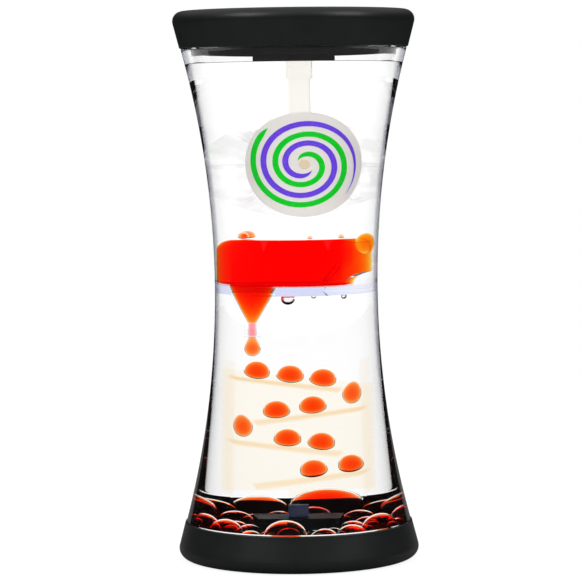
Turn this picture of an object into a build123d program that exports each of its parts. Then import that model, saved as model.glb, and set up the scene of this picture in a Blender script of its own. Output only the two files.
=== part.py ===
from build123d import *
import math
import os

# Liquid motion timer: a clear hourglass shell filled with oil, in which red drops run
# over ramps on one side of a partition and turn a spiral wheel on the other.
# Millimetres, +Z up, origin at the centre of the base, front towards -Y.

# Overall form
overall_height = 143.0
waist_radius = 21.3
flare_arc_radius = 238.0
shell_wall = 2.2

# End caps
cap_height = 9.65
cap_widest_radius = 31.5
cap_mouth_radius = 29.85
cap_rim_rounding = 2.6
cap_end_thickness = 2.2
cap_fit = 0.05

# Shell necks, seal rings and end plugs
neck_wall = 1.4
neck_end = 4.3
seal_thickness = 0.6
plug_fit = 0.05
chamber_end = 5.0
plug_floor_thickness = 1.2
plug_pocket_inner_radius = 10.0
plug_rim_width = 4.15
block_depth = 8.0
bottom_block_width = 16.4
bottom_block_height = 4.6
top_block_width = 21.2
top_block_height = 8.0
skirt_length = 6.4
skirt_wall = 1.2
air_depth = 8.2
socket_depth = 3.2
socket_fit = 0.05

# Fill hole and stopper, in the top plug
fill_hole_radius = 2.2
stopper_head_radius = 3.8
stopper_head_thickness = 1.2

# Partition and its two funnels
partition_thickness = 2.2
partition_lowering = 0.6
partition_fit = 0.05
funnel_x = 9.75
funnel_y = 8.3
funnel_mouth_radius = 5.7
funnel_cone_length = 9.6
funnel_wall = 1.0
nozzle_bore_radius = 1.0
nozzle_length = 3.5

# Hanger and spinner
hanger_x = 1.0
hanger_turn = 5.0
stem_width = 3.9
stem_thickness = 3.0
collar_width = 4.7
collar_thickness = 3.8
collar_length = 2.9
boss_radius = 3.2
boss_length = 4.2
axle_radius = 1.2
axle_running_clearance = 0.05
axle_end_length = 0.35
hub_radius = 2.6
hub_play = 0.3
disc_radius = 13.65
disc_thickness = 0.8
wheel_clearance = 1.1
wheel_rise = 19.65
vane_count = 8
vane_thickness = 0.9
vane_tip_radius = 13.0
pocket_clearance = 0.4

# Spiral print on the front disc
print_thickness = 0.1
spiral_turns = 2.03
spiral_start_radius = 2.2
spiral_margin = 1.05
spiral_half_width = 0.65
spiral_taper = 0.16
green_start_angle = 142.0
points_per_turn = 18

# Zigzag unit
tray_half_width = 15.4
tray_wall = 1.0
tray_back_thickness = 1.5
tray_clearance = 0.55
tray_foot_height = 11.8
tray_top_gap = 1.2
cover_thickness = 0.8
foot_width = 3.6
ramp_count = 4
ramp_thickness = 0.8
ramp_passage = 4.9
ramp_end_gap = 5.4
lowest_ramp_gap = 1.5
first_ramp_drop = 5.4

# Red liquid
liquid_film = 0.15
fill_gap = 0.05
drop_space_gap = 0.3
pool_depth = 12.05
pool_wall_gap = 4.15
pool_rounding = 3.4
pool_foot_rounding = 0.6
pool_bulge_radius = 2.7
pool_bulge_inset = 0.25
pool_bulge_y = -2.5
pool_bulge_drop = 1.5
funnel_swell = 9.0
pool_slot_margin = 0.5
pendant_length = 5.3
pendant_radius = 1.95
drop_radius = 2.85
drop_half_height = 2.35
ramp_drop_places = ((-8.8, -1.8, 5.0), (3.5, -4.0), (-2.5, 4.5), (3.5, 11.4))
falling_drop_ramps = (0, 1)
falling_drop_radius = 2.2
falling_drop_half_height = 3.0
falling_drop_tilt = 12.0
falling_drop_fall = 1.0
floor_ring_gap = 0.35
outer_ring_count = 16
inner_ring_count = 16
floor_drop_flatness = 0.68
floor_drop_back_rise = 0.12
floor_drop_packing = 0.97
floor_drop_spread = 0.3
floor_drop_step = 2.4
bead_places = ((-8.1, 6.0, 1.4), (-10.4, -2.0, 1.2), (3.0, -8.0, 0.6), (9.4, -5.0, 0.7))
bead_flatness = 0.75

# Worked-out heights and radii
middle = overall_height / 2
chamber_top = overall_height - chamber_end
oil_level = chamber_top - air_depth
partition_middle = middle - partition_lowering
partition_top = partition_middle + partition_thickness / 2
partition_bottom = partition_middle - partition_thickness / 2
funnel_length = funnel_cone_length + nozzle_length
nozzle_tip = partition_top - funnel_length
return_tip = 2 * partition_middle - nozzle_tip
pendant_bottom = nozzle_tip - pendant_length
pool_bottom = partition_top + fill_gap
pool_top = pool_bottom + pool_depth
axle_height = pool_top + wheel_rise
nozzle_outer_radius = nozzle_bore_radius + funnel_wall


def outer_radius(height):
    """Outer radius of the shell: a circular arc, smallest at the waist."""
    return waist_radius + flare_arc_radius - math.sqrt(flare_arc_radius**2 - (height - middle) ** 2)


def inner_radius(height):
    """Inner radius of the shell: the concentric arc one wall further in."""
    arc = flare_arc_radius + shell_wall
    return waist_radius - shell_wall + arc - math.sqrt(arc**2 - (height - middle) ** 2)


neck_inner_radius = inner_radius(cap_height)
neck_outer_radius = neck_inner_radius + neck_wall
plug_radius = neck_inner_radius - plug_fit
plug_pocket_outer_radius = plug_radius - plug_rim_width
fill_hole_offset = (plug_pocket_inner_radius + plug_pocket_outer_radius) / 2
waist_bore_radius = waist_radius - shell_wall
pool_radius = waist_bore_radius - pool_wall_gap
pool_bulge_place = (pool_radius - pool_bulge_inset, pool_bulge_y)
floor_reach = plug_radius - floor_ring_gap

# The disc stands as far forward as the shell lets its edge turn
disc_reach = disc_radius + hanger_x
disc_face = math.sqrt((inner_radius(axle_height - disc_radius / 3) - wheel_clearance) ** 2 - disc_reach**2)
paddle_front = disc_face - disc_thickness
hub_back = boss_length / 2 + hub_play

# The tray's front corners stay clear of the shell at its top edge
tray_top = pendant_bottom - tray_top_gap
tray_bottom = chamber_end + tray_foot_height
tray_front = -math.sqrt((inner_radius(tray_top) - tray_clearance) ** 2 - tray_half_width**2)
channel_front = tray_front + cover_thickness
channel_back = -tray_back_thickness
channel_middle = (channel_front + channel_back) / 2
channel_half_width = tray_half_width - tray_wall
highest_ramp = pendant_bottom - first_ramp_drop
lowest_ramp_end = tray_bottom + lowest_ramp_gap + ramp_thickness

# The ramps share the height from the first one's start to the last one's low end, and each is
# as steep as leaves a passage for a drop between its low end and the next ramp
ramp_room = ramp_thickness + ramp_passage
ramp_run = 2 * channel_half_width - ramp_end_gap
ramp_overlap = 2 * (channel_half_width - ramp_end_gap)
run_share = ramp_run / ramp_overlap
ramp_pitch = (highest_ramp - lowest_ramp_end + run_share * ramp_room) / (ramp_count - 1 + run_share)
ramp_slope = math.degrees(math.atan2(ramp_pitch - ramp_room, ramp_overlap))


def revolved(*edges):
    """Solid turned about Z from a closed outline drawn in the XZ plane."""
    return revolve(Plane.XZ * make_face(edges), Axis.Z)


def outline(*points):
    """Straight-sided closed outline through points given as (radius, height)."""
    return Polyline(*points, close=True)


def at_top(shape):
    """Turn a bottom-end piece over to the top end."""
    return Pos(0, 0, overall_height) * Rot(180, 0, 0) * shape


def box_between(low, high):
    """Box between two corners."""
    size = [b - a for a, b in zip(low, high)]
    centre = [(a + b) / 2 for a, b in zip(low, high)]
    return Pos(*centre) * Box(*size)


def cylinder_between(radius, low, high):
    """Upright cylinder between two heights."""
    return Pos(0, 0, (low + high) / 2) * Cylinder(radius, high - low)


def lying_cylinder(radius, front, back):
    """Cylinder along Y between two depths."""
    return Pos(0, (front + back) / 2, 0) * Rot(90, 0, 0) * Cylinder(radius, back - front)


def on_hanger(shape):
    """Place a piece drawn about the axle at its height, offset and turn under the top plug."""
    return Pos(hanger_x, 0, axle_height) * Rot(0, 0, hanger_turn) * shape


# Caps
def make_cap():
    """Cover with a rounded rim, a tapering side and a recess for the neck and plug."""
    centre = Vector(cap_widest_radius - cap_rim_rounding, cap_rim_rounding)
    mouth = Vector(cap_mouth_radius, cap_height)
    to_mouth = mouth - centre
    turn = math.atan2(to_mouth.Y, to_mouth.X) - math.acos(cap_rim_rounding / to_mouth.length)
    tangent = centre + Vector(math.cos(turn), math.sin(turn)) * cap_rim_rounding
    rim = CenterArc((centre.X, centre.Y), cap_rim_rounding, -90, 90 + math.degrees(turn))
    bore = neck_outer_radius + cap_fit
    side = Polyline(
        (tangent.X, tangent.Y),
        (cap_mouth_radius, cap_height),
        (bore, cap_height),
        (bore, cap_end_thickness),
        (0, cap_end_thickness),
        (0, 0),
        (centre.X, 0),
    )
    return revolved(rim, side)


# Shell
def make_shell():
    """Hourglass tube with a stepped neck at each end that fits inside the caps."""
    rim = outer_radius(cap_height)
    upper_seat = overall_height - cap_height
    outside = ThreePointArc((rim, cap_height), (waist_radius, middle), (rim, upper_seat))
    top_neck = Polyline(
        (rim, upper_seat),
        (neck_outer_radius, upper_seat),
        (neck_outer_radius, overall_height - neck_end),
        (neck_inner_radius, overall_height - neck_end),
        (neck_inner_radius, upper_seat),
    )
    inside = ThreePointArc(
        (neck_inner_radius, upper_seat), (waist_bore_radius, middle), (neck_inner_radius, cap_height)
    )
    bottom_neck = Polyline(
        (neck_inner_radius, cap_height),
        (neck_inner_radius, neck_end),
        (neck_outer_radius, neck_end),
        (neck_outer_radius, cap_height),
        (rim, cap_height),
    )
    return revolved(outside, top_neck, inside, bottom_neck)


# End plugs
def make_plug(block):
    """Plug body: flange under the seal, spigot in the neck, pocket on the cap side and a block inside."""
    flange = cylinder_between(neck_outer_radius, cap_end_thickness, neck_end - seal_thickness)
    spigot = cylinder_between(plug_radius, cap_end_thickness, chamber_end)
    pocket_top = chamber_end - plug_floor_thickness
    pocket = cylinder_between(plug_pocket_outer_radius, cap_end_thickness, pocket_top)
    pocket -= cylinder_between(plug_pocket_inner_radius, cap_end_thickness, pocket_top)
    return flange + spigot - pocket + block


def make_block(width, height):
    """Block on the chamber side of a plug, which holds the socket."""
    return box_between(
        (-width / 2, -block_depth / 2, chamber_end),
        (width / 2, block_depth / 2, chamber_end + height),
    )


def make_skirt():
    """Ring on the chamber side of a plug that guides it into the narrowing shell."""
    end = chamber_end + skirt_length
    reach = inner_radius(end) - plug_fit
    ring = cylinder_between(reach, chamber_end, end)
    return ring - cylinder_between(reach - skirt_wall, chamber_end, end)


def make_bottom_plug():
    """Bottom plug, with the socket for the tray's foot."""
    top = chamber_end + bottom_block_height
    socket = box_between(
        (-foot_width / 2 - socket_fit, channel_back - socket_fit, top - socket_depth),
        (foot_width / 2 + socket_fit, socket_fit, top),
    )
    return make_plug(make_block(bottom_block_width, bottom_block_height)) - socket


def make_top_plug():
    """Top plug, with a skirt, the socket for the hanger's stem and the fill hole."""
    face = chamber_top - top_block_height
    half_width = stem_width / 2 + socket_fit
    half_thickness = stem_thickness / 2 + socket_fit
    socket = box_between(
        (-half_width, -half_thickness, face - axle_height),
        (half_width, half_thickness, face + socket_depth - axle_height),
    )
    hole = Pos(0, fill_hole_offset, chamber_top) * Cylinder(fill_hole_radius, 3 * plug_floor_thickness)
    plug = make_plug(make_block(top_block_width, top_block_height)) + make_skirt()
    return at_top(plug) - on_hanger(socket) - hole


def make_fill_stopper():
    """Stopper: shank in the fill hole, head in the plug's pocket."""
    pocket_floor = chamber_top + plug_floor_thickness
    shank = cylinder_between(fill_hole_radius, chamber_top, pocket_floor)
    head = cylinder_between(stopper_head_radius, pocket_floor, pocket_floor + stopper_head_thickness)
    return Pos(0, fill_hole_offset, 0) * (shank + head)


def make_seal_ring():
    """Flat ring between the plug's flange and the rim of the neck."""
    ring = cylinder_between(neck_outer_radius, neck_end - seal_thickness, neck_end)
    return ring - cylinder_between(neck_inner_radius, neck_end - seal_thickness, neck_end)


# Partition
def cone_radius(depth):
    """Inner radius of a funnel at a depth below its mouth."""
    share = min(depth / funnel_cone_length, 1.0)
    return funnel_mouth_radius + (nozzle_bore_radius - funnel_mouth_radius) * share


def funnel_outside():
    """Outer solid of the downward funnel, under the plate, about its own axis."""
    return revolved(
        outline(
            (0, partition_bottom),
            (cone_radius(partition_thickness) + funnel_wall, partition_bottom),
            (nozzle_outer_radius, partition_top - funnel_cone_length),
            (nozzle_outer_radius, nozzle_tip),
            (0, nozzle_tip),
        )
    )


def funnel_inside(gap):
    """Inner space of the downward funnel, from the plate's top to the tip, less a gap."""
    throat = partition_top - funnel_cone_length
    return revolved(
        outline(
            (0, partition_top),
            (funnel_mouth_radius - gap, partition_top),
            (nozzle_bore_radius - gap, throat),
            (nozzle_bore_radius - gap, nozzle_tip),
            (0, nozzle_tip),
        )
    )


def as_drip(shape):
    """Place a funnel piece at the front left, pointing down."""
    return Pos(-funnel_x, -funnel_y, 0) * shape


def as_return(shape):
    """Place a funnel piece at the back right, turned over about the plate's middle to point up."""
    return Pos(funnel_x, funnel_y, 2 * partition_middle) * Rot(180, 0, 0) * shape


def make_partition():
    """Round plate at the waist, moulded in one with the drip funnel and the return funnel."""
    plate = cylinder_between(waist_bore_radius - partition_fit, partition_bottom, partition_top)
    body = plate + as_drip(funnel_outside()) + as_return(funnel_outside())
    return body - as_drip(funnel_inside(0)) - as_return(funnel_inside(0))


# Hanger and spinner, drawn about the axle with the axle along Y
def make_hanger():
    """Stem from the top socket, with a collar under the block and a boss that carries the axle."""
    face = chamber_top - top_block_height - axle_height
    stem = box_between(
        (-stem_width / 2, -stem_thickness / 2, 0),
        (stem_width / 2, stem_thickness / 2, face + socket_depth),
    )
    collar = box_between(
        (-collar_width / 2, -collar_thickness / 2, face - collar_length),
        (collar_width / 2, collar_thickness / 2, face),
    )
    boss = lying_cylinder(boss_radius, -boss_length / 2, boss_length / 2)
    bore = lying_cylinder(axle_radius + axle_running_clearance, -boss_length, boss_length)
    return on_hanger(stem + collar + boss - bore)


def make_axle():
    """Pin through the boss and both paddles, with rounded ends outside the discs."""
    half_length = disc_face + axle_end_length
    pin = lying_cylinder(axle_radius, -half_length, half_length)
    ends = [edge for edge in pin.edges() if abs(abs(edge.center().Y) - half_length) < axle_end_length / 2]
    return on_hanger(fillet(ends, axle_end_length * 0.8))


def make_paddle():
    """Hub with straight vanes, behind the front disc."""
    paddle = lying_cylinder(hub_radius, -paddle_front, -hub_back)
    vane = box_between(
        (hub_radius - vane_thickness, -paddle_front, -vane_thickness / 2),
        (vane_tip_radius, -hub_back, vane_thickness / 2),
    )
    for index in range(vane_count):
        paddle += Rot(0, 360 * index / vane_count, 0) * vane
    return paddle - lying_cylinder(axle_radius, -paddle_front, -hub_back)


def make_disc():
    """Flat disc on the outer end of a paddle."""
    disc = lying_cylinder(disc_radius, -disc_face, -paddle_front)
    return disc - lying_cylinder(axle_radius, -disc_face, -paddle_front)


def make_spiral(start_angle):
    """One printed arm: an even spiral, clockwise outwards as seen from the front, thin at both ends."""
    end_radius = disc_radius - spiral_margin
    count = round(spiral_turns * points_per_turn)
    inner_edge = []
    outer_edge = []
    for index in range(count + 1):
        share = index / count
        angle = math.radians(start_angle - 360 * spiral_turns * share)
        radius = spiral_start_radius + (end_radius - spiral_start_radius) * share
        swell = min(1.0, share / spiral_taper, (1 - share) / spiral_taper)
        half_width = spiral_half_width * math.sin(math.pi / 2 * swell)
        across, along = math.cos(angle), math.sin(angle)
        inner_edge.append(((radius - half_width) * across, (radius - half_width) * along))
        outer_edge.append(((radius + half_width) * across, (radius + half_width) * along))
    arm = make_face([Spline(*inner_edge), Spline(*outer_edge)])
    flat = extrude(arm, print_thickness)
    return Pos(0, -disc_face, 0) * Rot(90, 0, 0) * flat


def at_front(shape):
    """Front half of the spinner."""
    return on_hanger(shape)


def at_back(shape):
    """Back half of the spinner: the front half turned half round the stem."""
    return on_hanger(Rot(0, 0, 180) * shape)


# Zigzag unit
def make_tray():
    """Back plate with two side walls and the foot that stands in the bottom socket."""
    plate = box_between((-tray_half_width, channel_back, tray_bottom), (tray_half_width, 0, tray_top))
    foot = box_between(
        (-foot_width / 2, channel_back, chamber_end + bottom_block_height - socket_depth),
        (foot_width / 2, 0, tray_bottom),
    )
    tray = plate + foot
    for side in (-1, 1):
        inner = side * channel_half_width
        outer = side * tray_half_width
        tray += box_between(
            (min(inner, outer), channel_front, tray_bottom),
            (max(inner, outer), channel_back, tray_top),
        )
    return tray


def make_cover():
    """Clear front plate of the channel."""
    return box_between(
        (-tray_half_width, tray_front, tray_bottom),
        (tray_half_width, channel_front, tray_top),
    )


def ramp_side(index):
    """Side that a ramp starts from: -1 for the left wall, 1 for the right, counted from the top."""
    return -1 if index % 2 == 0 else 1


def ramp_surface(index, x):
    """Height of a ramp's top at a place across the channel."""
    run = channel_half_width - ramp_side(index) * x
    return highest_ramp - index * ramp_pitch - run * math.tan(math.radians(ramp_slope))


def make_ramp(index):
    """Sloping slat from one side wall to a gap before the other."""
    start = ramp_side(index) * channel_half_width
    end = -ramp_side(index) * (channel_half_width - ramp_end_gap)
    section = outline(
        (start, ramp_surface(index, start)),
        (end, ramp_surface(index, end)),
        (end, ramp_surface(index, end) - ramp_thickness),
        (start, ramp_surface(index, start) - ramp_thickness),
    )
    slat = extrude(Plane.XZ * make_face(section), channel_back - channel_front)
    return Pos(0, channel_back, 0) * slat


# Red liquid
def drop_shape(radius, half_height):
    """Drop about its middle: a ball flattened or drawn out along Z."""
    return scale(Sphere(radius), by=(1, 1, half_height / radius))


def slot_behind_return():
    """Space behind the return funnel's tube, where the pool stays open towards the wall."""
    width = 2 * (nozzle_outer_radius + pool_slot_margin)
    slot = Box(pool_radius, width, return_tip - partition_top, align=(Align.MIN, Align.CENTER, Align.MIN))
    outward = math.degrees(math.atan2(funnel_y, funnel_x))
    return Pos(funnel_x, funnel_y, partition_top) * Rot(0, 0, outward) * slot


def make_pool():
    """Pool on the partition, swollen over the drip funnel and filling it, with a bulge on its shoulder."""
    pool = cylinder_between(pool_radius, pool_bottom, pool_top)
    pool = fillet(pool.edges().sort_by(Axis.Z)[-1], pool_rounding)
    pool = fillet(pool.edges().sort_by(Axis.Z)[0], pool_foot_rounding)
    pool += Pos(*pool_bulge_place, pool_top - pool_bulge_drop) * Sphere(pool_bulge_radius)
    pool -= as_return(funnel_outside())
    pool -= slot_behind_return()
    swell = cylinder_between(funnel_mouth_radius - fill_gap, partition_top, pool_bottom + funnel_swell)
    swell = fillet(swell.edges().sort_by(Axis.Z)[-1], pool_rounding)
    return pool + as_drip(swell) + as_drip(funnel_inside(fill_gap))


def make_pendant_drop():
    """Drop that hangs at the drip nozzle: a narrow neck over a full belly."""
    belly = nozzle_tip - pendant_length * 0.58
    side = Spline(
        (nozzle_bore_radius - fill_gap, nozzle_tip),
        (pendant_radius, belly),
        (0, pendant_bottom),
        tangents=((0, -1), (-1, 0)),
    )
    axis = Polyline((0, pendant_bottom), (0, nozzle_tip), (nozzle_bore_radius - fill_gap, nozzle_tip))
    return as_drip(revolved(side, axis))


def on_ramp(shape, index, x, rise):
    """Stand a shape on a ramp, square to its slope, with its middle a rise above the surface."""
    lean = -ramp_side(index) * ramp_slope
    out_x = math.sin(math.radians(lean)) * rise
    out_z = math.cos(math.radians(lean)) * rise
    return Pos(x + out_x, channel_middle, ramp_surface(index, x) + out_z) * Rot(0, lean, 0) * shape


def make_ramp_drops():
    """Drops that run down the ramps, and those that fall past a ramp's end to the next."""
    drops = []
    for index, places in enumerate(ramp_drop_places):
        for x in places:
            shape = drop_shape(drop_radius, drop_half_height)
            drops.append(on_ramp(shape, index, x, drop_half_height + liquid_film))
    for index in falling_drop_ramps:
        side = -ramp_side(index)
        end = side * (channel_half_width - ramp_end_gap)
        height = ramp_surface(index, end) - falling_drop_fall
        shape = drop_shape(falling_drop_radius, falling_drop_half_height)
        place = Pos(side * (channel_half_width - ramp_end_gap / 2), channel_middle, height)
        drops.append(place * Rot(0, side * falling_drop_tilt, 0) * shape)
    return drops


def largest_floor_drop(count):
    """Radius of the largest drop in a ring of a count of drops, as a share of the ring's radius."""
    return math.sin(math.pi * (1 + floor_drop_spread) / count) * floor_drop_packing


def floor_ring(reach, count):
    """Ring of flattened drops on the floor, of uneven size and fuller at the back, out to a reach."""
    weights = [1 + floor_drop_spread * math.sin(floor_drop_step * index) for index in range(count)]
    largest = largest_floor_drop(count)
    ring_radius = reach / (1 + largest)
    drops = []
    angle = 0.0
    for weight in weights:
        half_angle = math.pi * weight / sum(weights)
        angle += half_angle
        radius = ring_radius * math.sin(half_angle) * floor_drop_packing
        half_height = radius * (floor_drop_flatness + floor_drop_back_rise * max(0.0, math.sin(angle)))
        place = Pos(ring_radius * math.cos(angle), ring_radius * math.sin(angle), 0)
        lift = Pos(0, 0, chamber_end + liquid_film + half_height)
        drops.append(place * lift * drop_shape(radius, half_height))
        angle += half_angle
    inner_reach = ring_radius * (1 - largest)
    return drops, inner_reach


def make_floor_drops():
    """Two rings of drops that have gathered on the bottom plug, round the socket block."""
    outer, free_reach = floor_ring(floor_reach, outer_ring_count)
    inner, _ = floor_ring(free_reach - floor_ring_gap, inner_ring_count)
    return outer + inner


def make_pool_beads():
    """Small beads that lie on top of the pool."""
    beads = []
    for x, y, radius in bead_places:
        half_height = radius * bead_flatness
        height = pool_top + liquid_film + half_height
        beads.append(Pos(x, y, height) * drop_shape(radius, half_height))
    return beads


# Clear oil
def chamber(low, high):
    """Space inside the shell between two heights, a film clear of the wall."""
    half_way = (low + high) / 2
    wall_arc = ThreePointArc(
        (inner_radius(low) - fill_gap, low),
        (inner_radius(half_way) - fill_gap, half_way),
        (inner_radius(high) - fill_gap, high),
    )
    ends = Polyline(
        (inner_radius(high) - fill_gap, high), (0, high), (0, low), (inner_radius(low) - fill_gap, low)
    )
    return revolved(wall_arc, ends)


def make_lower_oil():
    """Oil from the floor drops up to the partition, round the zigzag unit, the funnel and its drop."""
    largest = largest_floor_drop(outer_ring_count)
    flatness = floor_drop_flatness + floor_drop_back_rise
    drop_height = 2 * flatness * floor_reach * largest / (1 + largest)
    floor_layer = chamber_end + max(bottom_block_height, drop_height + liquid_film) + liquid_film
    oil = chamber(floor_layer, partition_bottom)
    unit = box_between((-tray_half_width, tray_front, tray_bottom), (tray_half_width, 0, tray_top))
    foot = box_between((-foot_width / 2, channel_back, floor_layer), (foot_width / 2, 0, tray_bottom))
    space_bottom = pendant_bottom - drop_space_gap
    drop_space = cylinder_between(pendant_radius + drop_space_gap, space_bottom, nozzle_tip)
    return oil - unit - foot - as_drip(funnel_outside() + drop_space)


def make_upper_oil():
    """Oil round the pool and up to its level, round the hanger and the space that the spinner turns in."""
    bead_height = 2 * bead_flatness * max(radius for _, _, radius in bead_places)
    pool_layer = pool_top + bead_height + 2 * liquid_film
    oil = chamber(partition_top + fill_gap, oil_level)
    oil -= cylinder_between(pool_radius + liquid_film, partition_top, pool_layer)
    bulge_bottom = pool_top - pool_bulge_drop - pool_bulge_radius - liquid_film
    bulge_space = cylinder_between(pool_bulge_radius + liquid_film, bulge_bottom, pool_layer)
    oil -= Pos(*pool_bulge_place, 0) * bulge_space
    swell_top = pool_bottom + funnel_swell + liquid_film
    oil -= as_drip(cylinder_between(funnel_mouth_radius, partition_top, swell_top))
    oil -= as_return(funnel_outside())
    reach = disc_face + axle_end_length + pocket_clearance
    spinner_space = lying_cylinder(disc_radius + pocket_clearance, -reach, reach)
    return oil - on_hanger(spinner_space) - hanger


bottom_plug = make_bottom_plug()
top_plug = make_top_plug()
partition = make_partition()
hanger = make_hanger()
tray = make_tray()
cover = make_cover()
ramps = [make_ramp(index) for index in range(ramp_count)]
pool = make_pool()
pendant_drop = make_pendant_drop()
ramp_drops = make_ramp_drops()
floor_drops = make_floor_drops()
pool_beads = make_pool_beads()
violet_start_angle = green_start_angle - 180

nodes = {
    "bottom_cap": make_cap(),
    "top_cap": at_top(make_cap()),
    "clear_shell": make_shell(),
    "bottom_plug": bottom_plug,
    "top_plug": top_plug,
    "bottom_seal_ring": make_seal_ring(),
    "top_seal_ring": at_top(make_seal_ring()),
    "fill_stopper": make_fill_stopper(),
    "partition": partition,
    "spinner_hanger": hanger,
    "spinner_axle": make_axle(),
    "front_paddle": at_front(make_paddle()),
    "back_paddle": at_back(make_paddle()),
    "front_disc": at_front(make_disc()),
    "back_disc": at_back(make_disc()),
    "front_green_spiral": at_front(make_spiral(green_start_angle)),
    "front_violet_spiral": at_front(make_spiral(violet_start_angle)),
    "zigzag_tray": tray,
    "zigzag_cover": cover,
    "red_pool": pool,
    "pendant_drop": pendant_drop,
    "ramp_drops": Compound(ramp_drops),
    "floor_drops": Compound(floor_drops),
    "pool_beads": Compound(pool_beads),
    "lower_oil": make_lower_oil(),
    "upper_oil": make_upper_oil(),
}
for index, ramp in enumerate(ramps):
    nodes[f"zigzag_ramp_{index + 1}"] = ramp

os.makedirs("parts", exist_ok=True)
for name, shape in nodes.items():
    export_step(shape, f"parts/{name}.step")
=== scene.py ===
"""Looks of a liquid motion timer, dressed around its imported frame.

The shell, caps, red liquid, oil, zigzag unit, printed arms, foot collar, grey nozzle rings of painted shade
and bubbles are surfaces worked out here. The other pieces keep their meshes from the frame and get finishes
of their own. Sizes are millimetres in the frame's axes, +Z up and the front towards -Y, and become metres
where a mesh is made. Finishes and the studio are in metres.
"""

import logging
import math
from dataclasses import dataclass
from enum import Enum
from typing import Any, Callable, Sequence

import bpy
import numpy as np
from mathutils import Matrix, Vector

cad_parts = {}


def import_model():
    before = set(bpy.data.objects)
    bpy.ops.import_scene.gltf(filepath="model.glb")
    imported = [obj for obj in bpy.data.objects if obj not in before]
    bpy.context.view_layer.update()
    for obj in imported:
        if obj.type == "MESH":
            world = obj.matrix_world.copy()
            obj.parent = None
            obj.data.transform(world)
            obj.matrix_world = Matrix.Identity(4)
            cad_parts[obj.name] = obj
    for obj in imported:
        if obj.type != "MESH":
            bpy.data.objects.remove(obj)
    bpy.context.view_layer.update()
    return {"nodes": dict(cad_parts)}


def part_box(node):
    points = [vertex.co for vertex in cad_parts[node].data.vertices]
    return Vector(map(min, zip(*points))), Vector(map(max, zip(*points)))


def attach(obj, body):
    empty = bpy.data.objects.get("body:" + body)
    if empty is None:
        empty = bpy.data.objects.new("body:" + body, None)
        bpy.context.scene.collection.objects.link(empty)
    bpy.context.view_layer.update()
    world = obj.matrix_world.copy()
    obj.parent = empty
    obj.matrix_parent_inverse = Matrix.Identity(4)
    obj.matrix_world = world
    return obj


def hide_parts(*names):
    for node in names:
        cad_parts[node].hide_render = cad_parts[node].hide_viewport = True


LOG = logging.getLogger("timer")
MM = 0.001
ROUND_STEPS = 240
TUBE_STEPS = 48
DROP_STEPS = (28, 40)
POINT_DIGITS = 6
WELD_DIGITS = 4
CREASE = 40.0
ALL_SMOOTH = 180.0
NOISE_MIDDLE = 0.5
FINE_DETAIL = 2.0
CLEAR_BOUNCES = 40

Colour = tuple[float, float, float]
Place = tuple[float, float, float]
Point = tuple[float, float]


class Body(Enum):
    """The two bodies that pieces ride on."""

    HOUSING = "housing"
    SPINNER = "spinner"


def math_method(operation: str, swapped: bool = False) -> Callable[["Socket", Any], "Socket"]:
    """Make a method that adds a Math node on a socket and a value.

    Args:
        operation: The node's operation.
        swapped: True if the value comes first.

    Returns:
        The method, which gives the node's output.
    """

    def method(self: "Socket", value: Any) -> "Socket":
        """Join the socket and the value by the operation."""
        pair = (value, self) if swapped else (self, value)
        return self.tree.node("ShaderNodeMath", {"operation": operation}, dict(enumerate(pair)))

    return method


class Socket:
    """A shader socket that takes part in Python arithmetic by adding Math nodes."""

    __add__ = math_method("ADD")
    __radd__ = math_method("ADD", True)
    __sub__ = math_method("SUBTRACT")
    __rsub__ = math_method("SUBTRACT", True)
    __mul__ = math_method("MULTIPLY")
    __rmul__ = math_method("MULTIPLY", True)
    larger = math_method("MAXIMUM")
    smaller = math_method("MINIMUM")

    def __init__(self, tree: "ShaderTree", port: bpy.types.NodeSocket) -> None:
        """Wrap one output socket of a tree."""
        self.tree = tree
        self.port = port

    def other(self, name: str) -> "Socket":
        """Another output of the same node."""
        return Socket(self.tree, self.port.node.outputs[name])


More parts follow.
